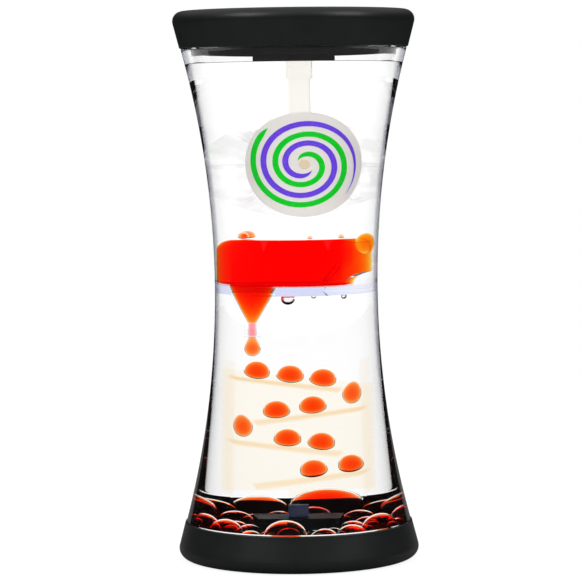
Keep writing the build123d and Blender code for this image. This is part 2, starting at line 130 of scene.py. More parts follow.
class ShaderTree:
    """A node tree that is filled by expressions."""

    def __init__(self, tree: bpy.types.NodeTree) -> None:
        """Start from an empty tree."""
        self.tree = tree
        tree.nodes.clear()

    def node(
        self,
        kind: str,
        settings: dict[str, Any] | None = None,
        sockets: dict[int | str, Any] | None = None,
        output: int | str = 0,
    ) -> Socket | None:
        """Add a node, set it up first and then feed its sockets.

        Args:
            kind: The node's type.
            settings: Properties of the node.
            sockets: Values or links for its inputs, by name or number.
            output: The output that is wanted.

        Returns:
            That output as a socket, or None for a node without outputs.
        """
        made = self.tree.nodes.new(kind)
        for key, value in (settings or {}).items():
            setattr(made, key, value)
        for key, value in (sockets or {}).items():
            port = made.inputs[key]
            if isinstance(value, Socket):
                self.tree.links.new(value.port, port)
            else:
                port.default_value = value
        return Socket(self, made.outputs[output]) if len(made.outputs) else None

    def place(self) -> Socket:
        """Object coordinates, which are the frame's metres."""
        return self.node("ShaderNodeTexCoord", output="Object")

    def noise(self, scale: float, detail: float = 3.0) -> Socket:
        """Soft noise from 0 to 1 with a number of blots per metre."""
        sockets = {"Vector": self.place(), "Scale": scale, "Detail": detail}
        return self.node("ShaderNodeTexNoise", None, sockets, "Fac")

    def ramp(self, value: Socket, low: float, high: float) -> Socket:
        """Smooth step from 0 at low to 1 at high."""
        settings = {"interpolation_type": "SMOOTHSTEP"}
        return self.node("ShaderNodeMapRange", settings, {0: value, 1: low, 2: high})

    def blend(self, share: Socket, first: Colour, second: Colour) -> Socket:
        """Blend two colours by a share from 0 to 1."""
        sockets = {0: share, 6: (*first, 1), 7: (*second, 1)}
        return self.node("ShaderNodeMix", {"data_type": "RGBA"}, sockets, 2)

    def bump(self, height: Socket, depth: float) -> Socket:
        """Normal of a relief that is a depth in metres high."""
        return self.node("ShaderNodeBump", None, {"Height": height, "Distance": depth})

    def principled(self, sockets: dict[str, Any]) -> Socket:
        """Principled surface with these inputs."""
        return self.node("ShaderNodeBsdfPrincipled", None, sockets)

    def absorption(self, per_metre: Colour) -> Socket:
        """Volume with an absorption per metre for each colour."""
        colour = (*(1 - share / max(per_metre) for share in per_metre), 1)
        return self.node("ShaderNodeVolumeAbsorption", None, {"Color": colour, "Density": max(per_metre)})

    def end(self, surface: Socket, volume: Socket | None = None) -> None:
        """Send a surface shader, and perhaps a volume, to the output."""
        links = {"Surface": surface} if volume is None else {"Surface": surface, "Volume": volume}
        self.node("ShaderNodeOutputMaterial", None, links)


class Finish:
    """A named finish, whose material is made once."""

    name: str

    def paint(self, tree: ShaderTree) -> None:
        """Fill the material's tree."""
        raise NotImplementedError

    def material(self) -> bpy.types.Material:
        """Find the material, or make it at its first use.

        Returns:
            The material.
        """
        label = f"{self.name}_finish"
        found = bpy.data.materials.get(label)
        if found is None:
            found = bpy.data.materials.new(label)
            found.use_nodes = True
            self.paint(ShaderTree(found.node_tree))
        return found


@dataclass(frozen=True)
class MouldedPlastic(Finish):
    """Plastic or rubber with mottled colour, uneven gloss and a fine grain, milky if it has clearness."""

    name: str
    colour: Colour
    second_colour: Colour
    roughness: float
    index: float = 1.46
    roughness_spread: float = 0.12
    blot_scale: float = 180.0
    blot_detail: float = 3.0
    shine_scale: float = 558.0
    grain_scale: float = 2600.0
    grain_depth: float = 0.00002
    clearness: float = 0.0

    def paint(self, tree: ShaderTree) -> None:
        """Two noises mottle the colour and the gloss, and a third raises the grain.

        Args:
            tree: The material's tree.
        """
        blots = tree.noise(self.blot_scale, self.blot_detail)
        shine = tree.noise(self.shine_scale, self.blot_detail)
        grain = tree.noise(self.grain_scale, FINE_DETAIL)
        sockets = {
            "Base Color": tree.blend(blots, self.colour, self.second_colour),
            "Roughness": self.roughness + self.roughness_spread * (shine - NOISE_MIDDLE),
            "IOR": self.index,
            "Transmission Weight": self.clearness,
            "Normal": tree.bump(grain, self.grain_depth),
        }
        tree.end(tree.principled(sockets))


@dataclass(frozen=True)
class ClearBody(Finish):
    """Clear solid or liquid against what surrounds it, with the colour that its depth takes away.

    The index is the body's own divided by the one outside it. Edges seen at a glancing angle take the
    edge's colour as painted shade, in place of the grey that clear mouldings show at their edges in a light
    tent.
    """

    name: str
    index: float
    per_metre: Colour | None = None
    roughness_spread: float = 0.0
    colour: Colour = (1.0, 1.0, 1.0)
    # edge: painted shade that the base colour takes where the surface is seen at a glancing angle
    edge: Colour = (1.0, 1.0, 1.0)
    edge_start: float = 0.62
    edge_end: float = 0.74
    ripple_scale: float = 300.0

    def paint(self, tree: ShaderTree) -> None:
        """A refracting surface, faintly uneven, over an absorbing volume, with painted shade at glancing
        edges.

        Args:
            tree: The material's tree.
        """
        facing = tree.node("ShaderNodeLayerWeight", output="Facing")
        # rim is the share of painted edge shade, growing towards glancing angles
        rim = tree.ramp(facing, self.edge_start, self.edge_end)
        sockets = {
            "Base Color": tree.blend(rim, self.colour, self.edge),
            "Roughness": self.roughness_spread * tree.noise(self.ripple_scale, FINE_DETAIL),
            "IOR": self.index,
            "Transmission Weight": 1.0,
        }
        volume = tree.absorption(self.per_metre) if self.per_metre else None
        tree.end(tree.principled(sockets), volume)


@dataclass(frozen=True)
class HiddenPlastic(Finish):
    """Clear moulding that the oil round it all but hides."""

    name: str
    haze: float = 0.14
    haze_colour: Colour = (0.9, 0.9, 0.91)
    roughness: float = 0.5
    blot_scale: float = 220.0
    blot_start: float = 0.35
    blot_end: float = 0.65

    def paint(self, tree: ShaderTree) -> None:
        """Light passes straight on, but for a breath of white haze in soft patches.

        Args:
            tree: The material's tree.
        """
        blots = tree.ramp(tree.noise(self.blot_scale), self.blot_start, self.blot_end)
        clear = tree.node("ShaderNodeBsdfTransparent")
        chalk = tree.principled({"Base Color": (*self.haze_colour, 1), "Roughness": self.roughness})
        tree.end(tree.node("ShaderNodeMixShader", None, {0: blots * self.haze, 1: clear, 2: chalk}))


@dataclass(frozen=True)
class PrintedInk(Finish):
    """Printed ink with slightly thin patches."""

    name: str
    colour: Colour
    thin_colour: Colour
    roughness: float = 0.45
    roughness_spread: float = 0.2
    index: float = 1.05
    patch_scale: float = 1900.0
    patch_detail: float = 4.0
    patch_start: float = 0.45
    patch_end: float = 0.75
    shine_scale: float = 400.0
    relief: float = 0.00001

    def paint(self, tree: ShaderTree) -> None:
        """Fine noise thins the ink, and a broad one varies its gloss.

        Args:
            tree: The material's tree.
        """
        patches = tree.noise(self.patch_scale, self.patch_detail)
        thin = tree.ramp(patches, self.patch_start, self.patch_end)
        shine = tree.noise(self.shine_scale)
        sockets = {
            "Base Color": tree.blend(thin, self.colour, self.thin_colour),
            "Roughness": self.roughness + self.roughness_spread * (shine - NOISE_MIDDLE),
            "IOR": self.index,
            "Normal": tree.bump(thin, self.relief),
        }
        tree.end(tree.principled(sockets))


# Indices of refraction, and the index of a body in one that bends light as it does
AIR_INDEX = 1.0
OIL_INDEX = 1.40
ACRYLIC_INDEX = 1.49
PARTITION_INDEX = 1.425
TRAY_INDEX = 1.404
COVER_INDEX = 1.402
DROP_INDEX = 1.34
POOL_INDEX = 1.39
FUNNEL_INDEX = 1.38
SAME_INDEX = 1.0

# Absorption of red, green and blue by the liquid, per metre
POOL_TAKES = (1.0, 340.0, 1250.0)
FUNNEL_TAKES = (1.0, 620.0, 1600.0)

BLACK_CAP = MouldedPlastic("black_satin", (0.006, 0.007, 0.0068), (0.010, 0.0115, 0.011), 0.34)
BLACK_PLUG = MouldedPlastic(
    "black_plug_plastic", (0.003, 0.003, 0.004), (0.005, 0.005, 0.006), 0.4, index=1.07
)
FOOT_COLLAR = MouldedPlastic("slate_collar", (0.035, 0.045, 0.085), (0.05, 0.06, 0.11), 0.4, index=1.07)
SEAL_RUBBER = MouldedPlastic("seal_rubber", (0.02, 0.02, 0.02), (0.03, 0.03, 0.03), 0.7)
TAN_PLASTIC = MouldedPlastic("tan_plastic", (0.93, 0.74, 0.48), (0.95, 0.79, 0.56), 0.4, index=1.08)
MILKY_DISC = MouldedPlastic(
    "milky_disc", (0.97, 0.92, 0.87), (0.98, 0.945, 0.91), 0.5, index=1.06, grain_depth=0.00001
)
NATURAL_PLASTIC = MouldedPlastic(
    "natural_plastic",
    (0.97, 0.94, 0.87),
    (0.99, 0.97, 0.92),
    0.4,
    index=1.02,
    roughness_spread=0.15,
    blot_scale=240.0,
    blot_detail=4.0,
    shine_scale=240.0,
    grain_scale=2160.0,
    grain_depth=0.00001,
    clearness=0.9,
)
GREEN_INK = PrintedInk("green_ink", (0.002, 0.72, 0.02), (0.01, 0.76, 0.05))
VIOLET_INK = PrintedInk("violet_ink", (0.17, 0.06, 0.90), (0.22, 0.10, 0.94))
# The outer face's edge colour is painted bluish-grey shade at glancing angles
OUTER_FACE = ClearBody("acrylic_outside", ACRYLIC_INDEX, roughness_spread=0.004, edge=(0.40, 0.41, 0.49))
WET_FACE = ClearBody("acrylic_inside", ACRYLIC_INDEX / OIL_INDEX)
DRY_FACE = ClearBody("acrylic_above_oil", ACRYLIC_INDEX)
CLEAR_PARTITION = ClearBody("clear_partition", PARTITION_INDEX / OIL_INDEX, (12.0, 10.5, 3.5))
CREAM_PLATE = ClearBody("cream_plate", SAME_INDEX, (5.0, 34.0, 99.0))
CREAM_WALL = ClearBody("cream_wall", TRAY_INDEX / OIL_INDEX, (4.0, 16.0, 34.0))
CREAM_RAMP = ClearBody("cream_ramp", SAME_INDEX, (5.0, 36.0, 84.0))
CLEAR_COVER = ClearBody("clear_cover", COVER_INDEX / OIL_INDEX)
CLEAR_WHEEL = HiddenPlastic("clear_wheel")
RED_DROP = ClearBody("red_drop", DROP_INDEX / OIL_INDEX, (1.0, 535.0, 1100.0))
RED_POOL = ClearBody("red_pool", POOL_INDEX / OIL_INDEX, POOL_TAKES)
RED_INSIDE = ClearBody("red_pool_inside", SAME_INDEX, POOL_TAKES)
RED_FUNNEL = ClearBody("red_in_funnel", FUNNEL_INDEX / OIL_INDEX, FUNNEL_TAKES)
RED_COLLAR = ClearBody("red_over_funnel", SAME_INDEX, FUNNEL_TAKES)
PINK_NECK = ClearBody("thin_red_liquid", FUNNEL_INDEX / OIL_INDEX, (1.0, 620.0, 560.0))
CLEAR_OIL = ClearBody("clear_oil", SAME_INDEX)
OIL_LEVEL = ClearBody("oil_level", OIL_INDEX)
# Grey clear rings that paint the dark shade line at the nozzle ends
NOZZLE_SHADE_LINE = ClearBody("nozzle_shade_line", SAME_INDEX, colour=(0.5, 0.5, 0.58))
AIR_BUBBLE = ClearBody("air_bubble", AIR_INDEX / OIL_INDEX)

SHELL_FINISHES = (OUTER_FACE, WET_FACE, DRY_FACE)
POOL_FINISHES = (RED_POOL, PINK_NECK, RED_INSIDE, RED_FUNNEL, RED_COLLAR)


def add_object(name: str, data: bpy.types.ID) -> bpy.types.Object:
    """Put a mesh, a camera or a lamp into the scene.

    Args:
        name: The object's name.
        data: What the object shows.

    Returns:
        The object, at the origin.
    """
    made = bpy.data.objects.new(name, data)
    bpy.context.scene.collection.objects.link(made)
    return made


@dataclass
class Surface:
    """Closed skins in millimetres: points, four-sided faces and a finish number for each face."""

    points: np.ndarray
    quads: np.ndarray
    marks: np.ndarray

    @classmethod
    def from_grid(cls, grid: np.ndarray, closed_rows: bool, marks: np.ndarray | None = None) -> "Surface":
        """Skin a grid of points whose columns close on themselves.

        Args:
            grid: Points as rows x columns x 3. A row that shrinks to one point makes a pole.
            closed_rows: True if the last row meets the first, as on a ring.
            marks: A finish number for each row of faces.

        Returns:
            The skin, facing outwards.
        """
        rows, columns = grid.shape[:2]
        index = np.arange(rows * columns).reshape(rows, columns)
        index = np.concatenate([index, index[:, :1]], axis=1)
        if closed_rows:
            index = np.concatenate([index, index[:1]], axis=0)
        corners = (index[:-1, :-1], index[:-1, 1:], index[1:, 1:], index[1:, :-1])
        quads = np.stack(corners, axis=-1).reshape(-1, 4)
        row_marks = np.zeros(len(index) - 1, int) if marks is None else marks
        made = cls(grid.reshape(-1, 3), quads, np.repeat(row_marks, columns))
        return made if made.volume() > 0 else made.flipped()

    @classmethod
    def turned(
        cls,
        profile: np.ndarray,
        steps: int = ROUND_STEPS,
        centre: Point = (0.0, 0.0),
        closed: bool = False,
        marks: np.ndarray | None = None,
    ) -> "Surface":
        """Turn a profile about an upright line: each (radius, height) becomes a circle.

        Args:
            profile: Points as (radius, height), from pole to pole or round a closed ring.
            steps: Steps round the circle.
            centre: Where the line stands, as (x, y).
            closed: True for a ring.
            marks: A finish number for each stretch of the profile.

        Returns:
            The skin, facing outwards.
        """
        angle = np.linspace(0, 2 * np.pi, steps, endpoint=False)
        radius, height = profile[:, :1], profile[:, 1:]
        x = centre[0] + radius * np.cos(angle)
        y = centre[1] + radius * np.sin(angle)
        grid = np.stack([x, y, height + 0 * angle], axis=-1)
        return cls.from_grid(grid, closed, marks)

    @classmethod
    def carried(cls, rings: np.ndarray) -> "Surface":
        """Carry a section along stations x corners x 3, each ring one station, with flat ends."""
        first, last = (np.broadcast_to(rings[k].mean(axis=0), rings[:1].shape) for k in (0, -1))
        return cls.from_grid(np.concatenate([first, rings, last]), False)

    @classmethod
    def slab(cls, section: np.ndarray, front: float, back: float) -> "Surface":
        """Carry a section of (x, z) corners straight from a front to a back."""
        rings = np.broadcast_arrays(section[:, 0], np.array([[front], [back]]), section[:, 1])
        return cls.carried(np.stack(rings, axis=-1))

    @classmethod
    def block(cls, low: Sequence[float], high: Sequence[float], fall: float = 0.0) -> "Surface":
        """Straight-sided block between two corners.

        Args:
            low: Lowest corner.
            high: Highest corner.
            fall: How far its two faces slope down from the left end to the right, or up if negative.

        Returns:
            The skin, facing outwards.
        """
        left = high[2] - max(-fall, 0.0)
        right = high[2] - max(fall, 0.0)
        thickness = high[2] - low[2] - abs(fall)
        upper = [(low[0], left), (high[0], right)]
        lower = [(high[0], right - thickness), (low[0], left - thickness)]
        return cls.slab(np.array(upper + lower), low[1], high[1])

    @classmethod
    def merged(cls, skins: Sequence["Surface"]) -> "Surface":
        """Hold several skins in one surface.

        Args:
            skins: The skins, whose marks number the same finishes.

        Returns:
            The surface with all of them.
        """
        starts = np.cumsum([0] + [len(skin.points) for skin in skins[:-1]])
        points = np.concatenate([skin.points for skin in skins])
        quads = np.concatenate([skin.quads + start for skin, start in zip(skins, starts)])
        return cls(points, quads, np.concatenate([skin.marks for skin in skins]))

    def volume(self) -> float:
        """Volume inside the skin, negative where it faces inwards."""
        a, b, c, d = (self.points[self.quads[:, k]] for k in range(4))
        return float(np.einsum("ij,ij->", a, np.cross(b, c) + np.cross(c, d))) / 6

    def flipped(self) -> "Surface":
        """The same skin facing the other way."""
        return Surface(self.points, self.quads[:, ::-1], self.marks)

    def to_mesh(self, name: str, finishes: Sequence[Finish], crease: float) -> bpy.types.Mesh:
        """Make the mesh in metres, with its poles closed.

        Args:
            name: The mesh's name.
            finishes: Finishes in the order of the face marks.
            crease: Angle in degrees from which an edge stays sharp.

        Returns:
            The mesh.
        """
        points, place = np.unique(np.round(self.points, POINT_DIGITS), axis=0, return_inverse=True)
        quads = place.reshape(-1)[self.quads]
        same = quads == np.roll(quads, -1, axis=1)
        whole = ~same.any(axis=1)
        faces = quads[whole].tolist()
        marks = [self.marks[whole]]
        for corner in range(4):
            pole = same[:, corner] & (same.sum(axis=1) == 1)
            faces += np.delete(quads[pole], corner, axis=1).tolist()
            marks.append(self.marks[pole])
        mesh = bpy.data.meshes.new(name)
        mesh.from_pydata((points * MM).tolist(), [], faces)
        for finish in finishes:
            mesh.materials.append(finish.material())
        mesh.polygons.foreach_set("material_index", np.concatenate(marks).astype(np.int32))
        mesh.polygons.foreach_set("use_smooth", np.ones(len(faces), bool))
        mesh.set_sharp_from_angle(angle=math.radians(crease))
        mesh.update()
        return mesh

    def build(
        self,
        name: str,
        finishes: Sequence[Finish],
        slot: str,
        *nodes: str,
        body: Body = Body.HOUSING,
        crease: float = CREASE,
        soft_edge: float = 0.0,
    ) -> None:
        """Make the piece, and let it ride a body and stand for nodes of the frame.

        Args:
            name: The piece's name.
            finishes: Finishes in the order of the face marks.
            slot: Not used.
            nodes: Names of the nodes that it replaces.
            body: The body that it moves with.
            crease: Angle in degrees from which an edge stays sharp.
            soft_edge: Width of the rounding of its sharp edges.
        """
        piece = add_object(name, self.to_mesh(name, finishes, crease))
        if soft_edge:
            bevel = piece.modifiers.new("soft_edges", "BEVEL")
            bevel.width = soft_edge * MM
            bevel.segments = 2
            bevel.limit_method = "ANGLE"
            bevel.harden_normals = True
        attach(piece, body.value)
        if nodes:
            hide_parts(*nodes)
        LOG.info("%s on %s", piece.name, body.value)


def arc_profile(centre: Point, radius: float, start: float, end: float, steps: int) -> np.ndarray:
    """Points (radius, height) on a circle from one angle in degrees to another."""
    angle = np.radians(np.linspace(start, end, steps))
    return np.stack([centre[0] + radius * np.cos(angle), centre[1] + radius * np.sin(angle)], axis=1)


def box_of(node: str, gap: float) -> tuple[np.ndarray, np.ndarray]:
    """Corners of a node in millimetres, drawn in by a gap all round."""
    low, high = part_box(node)
    return np.array(low) / MM + gap, np.array(high) / MM - gap


@dataclass(frozen=True)
class Solid:
    """One closed solid of a node: its middle, its three axes and its half lengths along them."""

    middle: np.ndarray
    axes: np.ndarray
    halves: np.ndarray


def solids_of(node: bpy.types.Object) -> list[Solid]:
    """Find the separate solids of a node of the frame.

    Corners at one place are one point. Each point takes the lowest label of the triangles that it is
    in until no label changes, so that each solid ends with one label. A solid's axes are the main
    directions of its spread, in the order X, Y, Z that they lie nearest to.

    Args:
        node: The node's object.

    Returns:
        The solids in millimetres, from low to high labels.
    """
    mesh = node.data
    mesh.calc_loop_triangles()
    places = np.empty(len(mesh.vertices) * 3, np.float32)
    mesh.vertices.foreach_get("co", places)
    corners = np.empty(len(mesh.loop_triangles) * 3, np.int32)
    mesh.loop_triangles.foreach_get("vertices", corners)
    rounded = np.round(places.reshape(-1, 3) / MM, WELD_DIGITS)
    points, place = np.unique(rounded, axis=0, return_inverse=True)
    triangles = place.reshape(-1)[corners].reshape(-1, 3)
    labels = np.arange(len(points))
    changed = True
    while changed:
        lowest = labels[triangles].min(axis=1)
        fresh = labels.copy()
        np.minimum.at(fresh, triangles, lowest[:, None])
        changed = bool((fresh != labels).any())
        labels = fresh
    found = []
    for label in np.unique(labels):
        cloud = points[labels == label]
        middle = (cloud.min(axis=0) + cloud.max(axis=0)) / 2
        spread = cloud - middle
        _, axes = np.linalg.eigh(spread.T @ spread)
        axes = axes.T
        order = [int(np.abs(axes[:, axis]).argmax()) for axis in range(3)]
        if len(set(order)) < 3:
            order = [0, 1, 2]
            axes = np.eye(3)
        axes = axes[order]
        axes = axes * np.sign(np.diag(axes))[:, None]
        found.append(Solid(middle, axes, np.abs(spread @ axes.T).max(axis=0)))
    return found


@dataclass
class Shell:
    """Clear hourglass tube with a stepped neck at each end, wetted by the oil inside."""

    height: float = 143.0
    waist: float = 21.3
    flare: float = 238.0
    wall: float = 2.2
    seat: float = 9.65
    neck_end: float = 4.3
    neck_wall: float = 1.4
    rim_round: float = 0.3
    level: float = 129.8
    steps: int = 110
    dry_steps: int = 6

    def outside(self, height: np.ndarray) -> np.ndarray:
        """Outer radius: a circular arc, smallest at the waist."""
        return self.waist + self.flare - np.sqrt(self.flare**2 - (height - self.height / 2) ** 2)

    def inside(self, height: np.ndarray) -> np.ndarray:
        """Inner radius: the concentric arc one wall further in."""
        arc = self.flare + self.wall
        return self.waist - self.wall + arc - np.sqrt(arc**2 - (height - self.height / 2) ** 2)

    def build(self) -> None:
        """Turn the wall's closed section: outer arc, top neck, inner arc dry and wetted, bottom neck."""
        low, high = self.seat, self.height - self.seat
        up = np.linspace(low + self.rim_round, high - self.rim_round, self.steps)
        dry = np.linspace(high, self.level, self.dry_steps)
        down = np.concatenate([dry, np.linspace(self.level, low, self.steps)[1:]])
        bore = float(self.inside(np.array(low)))
        neck = bore + self.neck_wall
        rim = float(self.outside(np.array(low))) - self.rim_round
        outer = np.stack([self.outside(up), up], axis=1)
        inner = np.stack([self.inside(down), down], axis=1)
        bottom = np.array([(bore, self.neck_end), (neck, self.neck_end), (neck, low), (rim, low)])
        top = bottom[::-1] * (1, -1) + (0, self.height)
        profile = np.concatenate([outer, top, inner, bottom])
        marks = np.zeros(len(profile), int)
        first_dry = len(outer) + len(top) - 1
        first_wet = first_dry + self.dry_steps
        marks[first_dry:first_wet] = SHELL_FINISHES.index(DRY_FACE)
        marks[first_wet : first_dry + len(inner) + 1] = SHELL_FINISHES.index(WET_FACE)
        surface = Surface.turned(profile, closed=True, marks=marks)
        surface.build("clear_shell_wall", SHELL_FINISHES, "clear_acrylic", "clear_shell")


@dataclass
class EndCap:
    """Black cover, as high as the shell's seat: rounded rim, tapering side and softened mouth."""

    shell: Shell
    name: str
    node: str
    upper: bool
    widest: float = 31.5
    mouth: float = 29.85
    rim_round: float = 2.6
    mouth_round: float = 0.35
    end: float = 2.2
    bore: float = 28.7
    face_steps: int = 12
    rim_steps: int = 18
    side_steps: int = 8
    lip_steps: int = 6

    def build(self) -> None:
        """Turn the section: end face, rim arc, straight side, rounded mouth, bore and inner face."""
        height = self.shell.seat
        centre = (self.widest - self.rim_round, self.rim_round)
        reach = np.array([self.mouth, height]) - centre
        turn = math.degrees(math.atan2(reach[1], reach[0]) - math.acos(self.rim_round / np.hypot(*reach)))
        rim = arc_profile(centre, self.rim_round, -90, turn, self.rim_steps)
        lip_centre = (self.mouth - self.mouth_round, height - self.mouth_round)
        side = np.linspace(rim[-1], (self.mouth, lip_centre[1]), self.side_steps)[1:]
        lip = arc_profile(lip_centre, self.mouth_round, 0, 90, self.lip_steps)[1:]
        inner = np.array([(self.bore, height), (self.bore, self.end), (0, self.end)])
        face = np.linspace((0, 0), rim[0], self.face_steps)[:-1]
        profile = np.concatenate([face, rim, side, lip, inner])
        if self.upper:
            profile = profile * (1, -1) + (0, self.shell.height)
        Surface.turned(profile).build(self.name, (BLACK_CAP,), "black_plastic", self.node)


@dataclass(frozen=True)
class Funnels:
    """Sizes of the partition's plate and of its two funnels: one drips down, one returns upwards."""

    plate_top: float = 72.0
    plate: float = 2.2
    drip_place: Point = (-9.75, -8.3)
    return_place: Point = (9.75, 8.3)
    mouth: float = 5.7
    cone: float = 9.6
    nozzle: float = 3.5
    bore: float = 1.0
    wall: float = 1.0

    @property
    def underside(self) -> float:
        """Height of the plate's lower face."""
        return self.plate_top - self.plate

    @property
    def throat(self) -> float:
        """Height where the drip funnel's cone meets its nozzle."""
        return self.plate_top - self.cone

    @property
    def tip(self) -> float:
        """Height of the drip nozzle's open end."""
        return self.throat - self.nozzle

    @property
    def return_tip(self) -> float:
        """Height of the return nozzle's open end."""
        return self.underside + self.cone + self.nozzle

    def return_reach(self, height: np.ndarray, film: float) -> np.ndarray:
        """Outer radius of the return funnel above the plate: a cone, then a tube, then nothing.

        Args:
            height: Heights to look at.
            film: Gap that is kept round the funnel.

        Returns:
            The radius at each height, with the gap.
        """
        share = (self.cone - self.plate) / self.cone
        base = self.bore + (self.mouth - self.bore) * share + self.wall
        throat = self.plate_top + self.cone - self.plate
        reach = np.interp(height, (self.plate_top, throat), (base, self.bore + self.wall)) + film
        return np.where(height < throat + self.nozzle + film, reach, 0.0)


@dataclass
class RedLiquid:
    """Pool on the partition with its filled funnel, the hanging drop and all loose drops and beads."""

    nodes: dict[str, bpy.types.Object]
    funnels: Funnels
    film: float = 0.05
    depth: float = 12.05
    radius: float = 14.95
    top_round: float = 3.4
    foot_round: float = 0.6
    foot_steps: int = 9
    side_steps: int = 24
    shoulder_steps: int = 25
    bulge_place: Point = (14.7, -2.5)
    bulge_radius: float = 2.7
    bulge_drop: float = 1.5
    swell: float = 9.0
    least_cosine: float = 0.05
    thin_start: float = 8.4
    thin_slope: float = -0.15
    hollow_place: float = 14.4
    hollow_width: float = 3.6
    hollow_height: float = 2.8
    overlap: float = 1.0
    cone_steps: int = 64
    hang: float = 5.3
    belly: float = 1.95
    swollen_at: float = 0.6
    rounded_from: float = 0.55
    hang_steps: int = 40
    fullness: float = 0.05
    point: float = 0.15
    flat_on_ramps: float = 0.32
    flat_on_floor: float = 0.3
    flat_beads: float = 0.5
    floor_tilt: float = 0.15
    seed: int = 11

    def swell_reach(self, height: np.ndarray) -> np.ndarray:
        """Radius of the liquid that swells over the drip funnel: a straight side, a rounded shoulder.

        Args:
            height: Heights to look at.

        Returns:
            The radius at each height, 0 above the swell.
        """
        full = self.funnels.mouth - self.film
        shoulder = self.funnels.plate_top + self.film + self.swell - self.top_round
        over = np.clip((height - shoulder) / self.top_round, 0.0, 1.0)
        reach = full - self.top_round * (1 - np.sqrt(1 - over**2))
        return np.where(height < shoulder + self.top_round, reach, 0.0)

    @staticmethod
    def crossings(angle: np.ndarray, place: Point, reach: np.ndarray) -> tuple[np.ndarray, np.ndarray]:
        """Where rays from the axis meet a circle round a place.

        Args:
            angle: The rays' directions.
            place: The circle's middle.
            reach: The circle's radius, one for each height.

        Returns:
            The nearer and the farther distance, both not a number for a ray that misses.
        """
        away = math.hypot(*place)
        turn = angle - math.atan2(place[1], place[0])
        inner = reach**2 - (away * np.sin(turn)) ** 2
        half = np.sqrt(np.where((inner > 0) & (np.cos(turn) > 0), inner, np.nan))
        return away * np.cos(turn) - half, away * np.cos(turn) + half

    def right_end(self, angle: np.ndarray, height: np.ndarray) -> np.ndarray:
        """How far the pool reaches at its right end, which lies in front of the return funnel.

        Behind a ray from the axis, the liquid ends at an upright plane. In front of that ray, it is
        hollowed from below by a quarter ellipse in width and height.

        Args:
            angle: Directions from the axis.
            height: Heights, one for each ring.

        Returns:
            The largest radius, not a number where nothing ends the liquid.
        """
        across = np.where(np.cos(angle) > self.least_cosine, np.cos(angle), np.nan)
        is_behind = np.sin(angle) > -self.thin_slope * np.cos(angle)
        behind = np.where(is_behind, self.thin_start / across, np.nan)
        share = np.clip((height - self.funnels.plate_top - self.film) / self.hollow_height, 0, 1)
        lifted = self.hollow_place - self.hollow_width * np.sqrt(1 - share**2)
        return np.fmin(behind, np.where(share < 1, lifted, np.nan) / across)

    def pool(self) -> Surface:
        """Body of the pool: a turned section with rounded edges, swollen over one funnel.

        Every height is one ring round the pool's axis. A ring's radius is the section's, or the farther
        crossing with the swell's circle if that is longer, and never more than the nearer crossing with the
        return funnel's circle or the right end. The flat underside lets light through to the funnel.

        Returns:
            The pool's skin.
        """
        low = self.funnels.plate_top + self.film
        high = low + self.depth
        centre_low = (self.radius - self.foot_round, low + self.foot_round)
        centre_high = (self.radius - self.top_round, high - self.top_round)
        foot = arc_profile(centre_low, self.foot_round, -90, 0, self.foot_steps)
        side = np.linspace(foot[-1], (self.radius, high - self.top_round), self.side_steps)[1:-1]
        shoulder = arc_profile(centre_high, self.top_round, 0, 90, self.shoulder_steps)
        profile = np.concatenate([[(0, low)], foot, side, shoulder, [(0, high)]])
        radius, height = profile[1:-1, :1], profile[1:-1, 1:]
        angle = np.linspace(0, 2 * np.pi, 2 * ROUND_STEPS, endpoint=False)[None, :]
        far = self.crossings(angle, self.funnels.drip_place, self.swell_reach(height))[1]
        around = self.funnels.return_reach(height, self.film)
        near = self.crossings(angle, self.funnels.return_place, around)[0]
        radius = np.fmin(np.fmin(np.fmax(radius, far), near), self.right_end(angle, height))
        pole = np.zeros((1, angle.shape[1]))
        radius = np.concatenate([pole, radius, pole])
        x, y = radius * np.cos(angle), radius * np.sin(angle)
        grid = np.stack([x, y, profile[:, 1:] + 0 * angle], axis=-1)
        marks = np.zeros(len(profile) - 1, int)
        marks[0] = POOL_FINISHES.index(RED_INSIDE)
        return Surface.from_grid(grid, False, marks)

    def bulge(self) -> Surface:
        """Turn a half circle into the ball that bulges from the pool's shoulder.

        Returns:
            The ball's skin.
        """
        level = self.funnels.plate_top + self.film + self.depth - self.bulge_drop
        profile = arc_profile((0, level), self.bulge_radius, -90, 90, DROP_STEPS[0])
        return Surface.turned(profile, DROP_STEPS[1], self.bulge_place)

    def funnel_fill(self) -> Surface:
        """Liquid in the drip funnel: a cone down to the nozzle, and a collar that reaches into the pool.

        Returns:
            The fill's skin.
        """
        funnels = self.funnels
        wide = funnels.mouth - 2 * self.film
        narrow = funnels.bore - self.film
        top = funnels.plate_top + self.overlap
        collar = [(0, top), (wide, top), (wide, funnels.plate_top)]
        cone = [(narrow, funnels.throat), (0, funnels.throat)]
        finishes = (RED_COLLAR, RED_COLLAR, RED_FUNNEL, RED_FUNNEL)
        marks = np.array([POOL_FINISHES.index(finish) for finish in finishes])
        return Surface.turned(np.array(collar + cone), self.cone_steps, funnels.drip_place, marks=marks)

    def nozzle_fill(self) -> Surface:
        """Thin thread of liquid in the nozzle's bore, between the cone and the hanging drop.

        Returns:
            The thread's skin.
        """
        high = self.funnels.throat - self.film
        low = high - self.funnels.nozzle + 2 * self.film
        reach = self.funnels.bore - self.film
        profile = np.array([(0, low), (reach, low), (reach, high), (0, high)])
        marks = np.full(len(profile) - 1, POOL_FINISHES.index(PINK_NECK))
        return Surface.turned(profile, TUBE_STEPS, self.funnels.drip_place, marks=marks)

